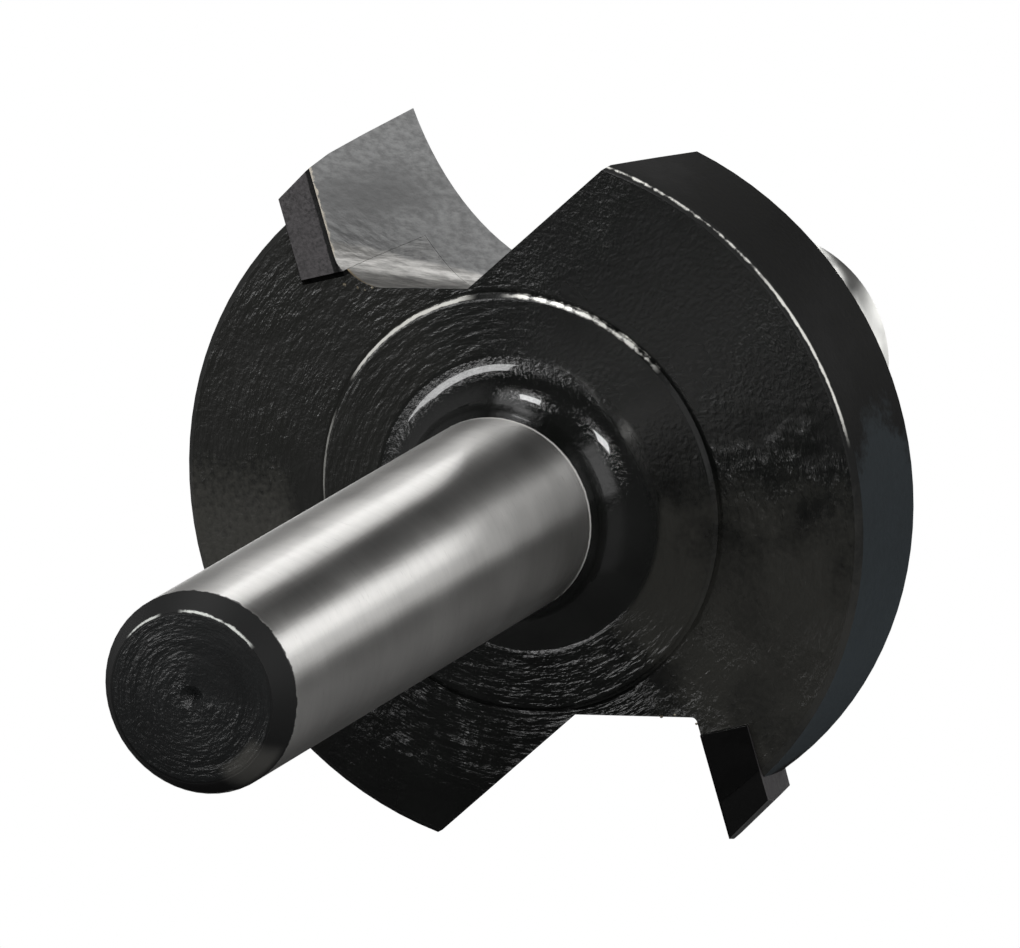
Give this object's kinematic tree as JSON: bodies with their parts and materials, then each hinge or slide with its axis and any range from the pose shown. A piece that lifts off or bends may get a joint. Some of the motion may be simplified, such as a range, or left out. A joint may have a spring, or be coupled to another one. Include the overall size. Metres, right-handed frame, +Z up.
{
  "type": "router bit",
  "caption": "Carbide-tipped rounding-over router bit with a plain round shank, slanted gullets and a ball-bearing guide held by a socket-head screw.",
  "frame": {"origin": "centre of the bounding box's footprint, on the surface the bit lies on", "axes": "+Z up; +Y is the horizontal direction in which the cutting head lies from the shank; +X to the right of somebody who looks along +Y; the tool's own axis lies in the YZ plane and rises towards +Y by 17.1 degrees, because the bit rests on the shank's end and across one gullet"},
  "size_m": [0.046, 0.0958, 0.0456],
  "materials": {
    "black_body": "gloss black paint on a turned head, with bare ground shank, rake faces and gullets",
    "carbide": "ground rake face and flanks, matte dark sintered end face",
    "washer_steel": "turned bright steel",
    "bearing_steel": "ground and polished bearing steel",
    "cage_sheet": "pressed steel sheet",
    "shield_sheet": "pressed bright steel sheet",
    "ball_steel": "mirror-finished bearing balls",
    "black_screw": "black-oxide alloy steel"
  },
  "bodies": {
    "cutter": {"cutter_body": "black_body", "carbide_tip_1": "carbide", "carbide_tip_2": "carbide", "spacer_washer": "washer_steel", "bearing_inner_ring": "bearing_steel", "retaining_washer": "washer_steel", "retaining_screw": "black_screw"},
    "outer_ring": {"bearing_outer_ring": "bearing_steel", "shield_front": "shield_sheet", "shield_back": "shield_sheet"},
    "ball_cage": {"cage_front": "cage_sheet", "cage_back": "cage_sheet", "cage_rivets": "cage_sheet", "ball_1": "ball_steel", "ball_2": "ball_steel", "ball_3": "ball_steel", "ball_4": "ball_steel", "ball_5": "ball_steel", "ball_6": "ball_steel", "ball_7": "ball_steel", "ball_8": "ball_steel"}
  },
  "joints": [
    {"name": "outer_ring_spin", "type": "hinge", "parent": "cutter", "child": "outer_ring", "pos_m": [0, 0.04, 0.03227], "axis": [0, 0.9556, 0.2946], "continuous": true},
    {"name": "ball_cage_spin", "type": "hinge", "parent": "cutter", "child": "ball_cage", "pos_m": [0, 0.04, 0.03227], "axis": [0, 0.9556, 0.2946], "continuous": true}
  ],
  "couplings": [
    {"joint": "ball_cage_spin", "follows": "outer_ring_spin", "ratio": 0.6091}
  ]
}
